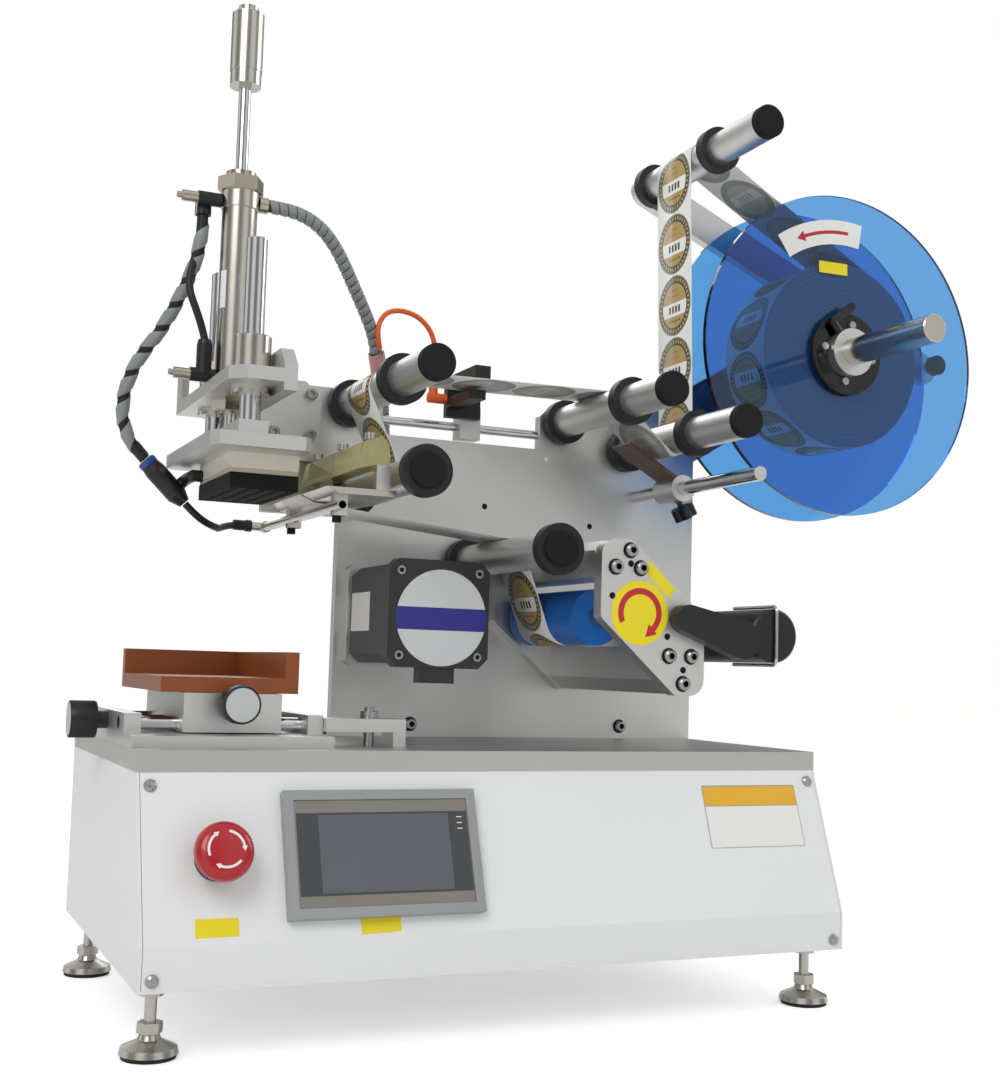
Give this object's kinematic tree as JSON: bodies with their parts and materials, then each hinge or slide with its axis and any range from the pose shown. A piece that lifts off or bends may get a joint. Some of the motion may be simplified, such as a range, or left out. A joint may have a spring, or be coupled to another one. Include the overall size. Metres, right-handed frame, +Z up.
{
  "type": "flat surface labeling machine",
  "caption": "Benchtop machine that peels labels from a reel over an edge and presses them on flat goods in a nest, with press head, rollers, motor and touch panel.",
  "frame": {"origin": "on the bench surface, midway between the four levelling feet", "axes": "+X to the operator's right, +Y away from the operator, +Z up"},
  "size_m": [0.871, 0.3409, 0.7854],
  "materials": {
    "white_shell": "powder coated",
    "stainless": "brushed",
    "aluminium": "satin",
    "bright_steel": "polished",
    "black_plastic": "matte",
    "grey_plastic": "matte",
    "red_plastic": "gloss",
    "blue_acrylic": "clear blue",
    "clear_acrylic": "clear",
    "blue_rubber": "ground",
    "black_rubber": "matte",
    "paper": "matte",
    "foam": "open cell",
    "brown_laminate": "satin",
    "orange_plastic": "matte",
    "black_motor": "black"
  },
  "bodies": {
    "root": {"cabinet_shell": "white_shell", "front_panel": "white_shell", "lid_plate": "stainless", "levelling_feet": "bright_steel", "touch_panel": "grey_plastic", "stop_base": "black_plastic", "main_plate": "aluminium", "plate_brackets": "aluminium", "socket_screws": "bright_steel", "head_mount_plate": "aluminium", "head_bracket": "aluminium", "air_cylinder": "bright_steel", "air_fittings": "black_plastic", "peel_plate": "stainless", "presser_bar": "clear_acrylic", "blow_tube": "bright_steel", "axles_and_rods": "bright_steel", "reel_arm": "aluminium", "top_bar": "aluminium", "step_motor": "black_motor", "traction_frame": "aluminium", "drive_belts": "black_rubber", "table_base": "aluminium", "hold_down_clamp": "aluminium", "control_gear": "grey_plastic", "label_web": "paper", "conduit_hose": "grey_plastic", "bundle_hose": "grey_plastic", "cylinder_hose": "black_plastic", "blow_hose": "black_plastic", "sensor_cable": "orange_plastic"},
    "press_head": {"head_rods": "bright_steel", "press_plates": "aluminium", "vacuum_box": "grey_plastic", "foam_pad": "foam", "vacuum_ejector": "black_plastic"},
    "top_roller": {"top_roller": "aluminium"},
    "feed_roller": {"feed_roller": "aluminium"},
    "sensor_roller": {"sensor_roller": "aluminium"},
    "bend_roller": {"bend_roller": "aluminium"},
    "peel_roller": {"peel_roller": "aluminium"},
    "liner_roller": {"liner_roller": "aluminium"},
    "drive_roller": {"drive_roller": "blue_rubber"},
    "pinch_lever": {"pinch_lever": "black_plastic"},
    "pinch_roller": {"pinch_roller": "black_rubber"},
    "motor_pulley": {"motor_pulley": "aluminium"},
    "take_up": {"take_up_shaft": "black_plastic"},
    "reel": {"reel_shaft": "bright_steel", "label_roll": "paper"},
    "front_disc": {"front_disc": "blue_acrylic"},
    "clamp_lever": {"clamp_lever": "black_plastic"},
    "label_sensor": {"label_sensor": "black_plastic"},
    "web_flap": {"web_flap": "brown_laminate"},
    "flap_knob": {"flap_knob": "black_plastic"},
    "cross_carriage": {"cross_carriage": "aluminium"},
    "nest_tray": {"nest_tray": "brown_laminate"},
    "cross_knob": {"cross_knob": "black_plastic"},
    "feed_knob": {"feed_knob": "black_plastic"},
    "stop_stem": {"stop_stem": "black_plastic"},
    "stop_head": {"stop_head": "red_plastic"}
  },
  "joints": [
    {"name": "press_slide", "type": "slide", "parent": "root", "child": "press_head", "axis": [0, 0, -1], "range_m": [0, 0.07], "deforming": ["bundle_hose", "blow_hose"]},
    {"name": "reel_spin", "type": "hinge", "parent": "root", "child": "reel", "pos_m": [0.372, 0, 0.56], "axis": [0, 1, 0], "continuous": true},
    {"name": "top_roller_spin", "type": "hinge", "parent": "root", "child": "top_roller", "pos_m": [0.222, 0, 0.724], "axis": [0, 1, 0], "continuous": true},
    {"name": "feed_roller_spin", "type": "hinge", "parent": "root", "child": "feed_roller", "pos_m": [0.2, 0, 0.467], "axis": [0, 1, 0], "continuous": true},
    {"name": "sensor_roller_spin", "type": "hinge", "parent": "root", "child": "sensor_roller", "pos_m": [0.132, 0, 0.487], "axis": [0, 1, 0], "continuous": true},
    {"name": "bend_roller_spin", "type": "hinge", "parent": "root", "child": "bend_roller", "pos_m": [-0.073, 0, 0.4835], "axis": [0, 1, 0], "continuous": true},
    {"name": "peel_roller_spin", "type": "hinge", "parent": "root", "child": "peel_roller", "pos_m": [-0.069, 0, 0.4061], "axis": [0, 1, 0], "continuous": true},
    {"name": "liner_roller_spin", "type": "hinge", "parent": "root", "child": "liner_roller", "pos_m": [0.04, 0, 0.3535], "axis": [0, 1, 0], "continuous": true},
    {"name": "drive_roller_spin", "type": "hinge", "parent": "root", "child": "drive_roller", "pos_m": [0.0985, 0, 0.304], "axis": [0, 1, 0], "continuous": true},
    {"name": "motor_spin", "type": "hinge", "parent": "root", "child": "motor_pulley", "pos_m": [-0.028, 0, 0.302], "axis": [0, 1, 0], "continuous": true},
    {"name": "take_up_spin", "type": "hinge", "parent": "root", "child": "take_up", "pos_m": [0.232, 0, 0.293], "axis": [0, 1, 0], "continuous": true},
    {"name": "pinch_release", "type": "hinge", "parent": "root", "child": "pinch_lever", "pos_m": [0.1364, 0, 0.3026], "axis": [0, 1, 0], "range_deg": [-90, 0]},
    {"name": "pinch_roller_spin", "type": "hinge", "parent": "pinch_lever", "child": "pinch_roller", "pos_m": [0.1329, 0, 0.303], "axis": [0, 1, 0], "continuous": true},
    {"name": "front_disc_slide", "type": "slide", "parent": "reel", "child": "front_disc", "axis": [0, -1, 0], "range_m": [0, 0.095]},
    {"name": "disc_clamp_turn", "type": "hinge", "parent": "front_disc", "child": "clamp_lever", "pos_m": [0.372, -0.043, 0.56], "axis": [-0.6018, 0, 0.7986], "range_deg": [-90, 0]},
    {"name": "sensor_slide", "type": "slide", "parent": "root", "child": "label_sensor", "axis": [1, 0, 0], "range_m": [-0.045, 0.055], "deforming": ["sensor_cable"]},
    {"name": "flap_swing", "type": "hinge", "parent": "root", "child": "web_flap", "pos_m": [0.213, 0, 0.4245], "axis": [0, 1, 0], "range_deg": [-40, 6]},
    {"name": "flap_knob_turn", "type": "hinge", "parent": "web_flap", "child": "flap_knob", "pos_m": [0.213, 0.003, 0.4245], "axis": [0.4848, 0, -0.8746], "range_deg": [0, 360]},
    {"name": "carriage_slide", "type": "slide", "parent": "root", "child": "cross_carriage", "axis": [1, 0, 0], "range_m": [-0.028, 0.018]},
    {"name": "feed_knob_turn", "type": "hinge", "parent": "root", "child": "feed_knob", "pos_m": [-0.29, 0.005, 0.2138], "axis": [1, 0, 0], "range_deg": [-2100, 1400]},
    {"name": "tray_slide", "type": "slide", "parent": "cross_carriage", "child": "nest_tray", "axis": [0, 1, 0], "range_m": [-0.012, 0.02]},
    {"name": "cross_knob_turn", "type": "hinge", "parent": "cross_carriage", "child": "cross_knob", "pos_m": [-0.19675, -0.085, 0.229], "axis": [0, 1, 0], "range_deg": [-900, 1500]},
    {"name": "stop_push", "type": "slide", "parent": "root", "child": "stop_stem", "axis": [0, 0.9377, -0.3473], "range_m": [0, 0.005], "stiffness_N_per_m": 600},
    {"name": "stop_twist", "type": "hinge", "parent": "stop_stem", "child": "stop_head", "pos_m": [-0.2232, -0.1446, 0.1284], "axis": [0, -0.9377, 0.3473], "range_deg": [0, 40], "stiffness_Nm_per_rad": 0.05}
  ],
  "couplings": [
    {"joint": "top_roller_spin", "follows": "reel_spin", "ratio": 6.0345},
    {"joint": "feed_roller_spin", "follows": "reel_spin", "ratio": -6.0345},
    {"joint": "sensor_roller_spin", "follows": "reel_spin", "ratio": 6.0345},
    {"joint": "bend_roller_spin", "follows": "reel_spin", "ratio": 6.0345},
    {"joint": "peel_roller_spin", "follows": "reel_spin", "ratio": -6.0345},
    {"joint": "liner_roller_spin", "follows": "reel_spin", "ratio": -6.0345},
    {"joint": "drive_roller_spin", "follows": "reel_spin", "ratio": 3.7234},
    {"joint": "motor_spin", "follows": "reel_spin", "ratio": 5.461},
    {"joint": "pinch_roller_spin", "follows": "reel_spin", "ratio": -8.0168},
    {"joint": "take_up_spin", "follows": "reel_spin", "ratio": 3.7234},
    {"joint": "feed_knob_turn", "follows": "carriage_slide", "rad_per_m": 1256.6},
    {"joint": "cross_knob_turn", "follows": "tray_slide", "rad_per_m": 1256.6}
  ]
}
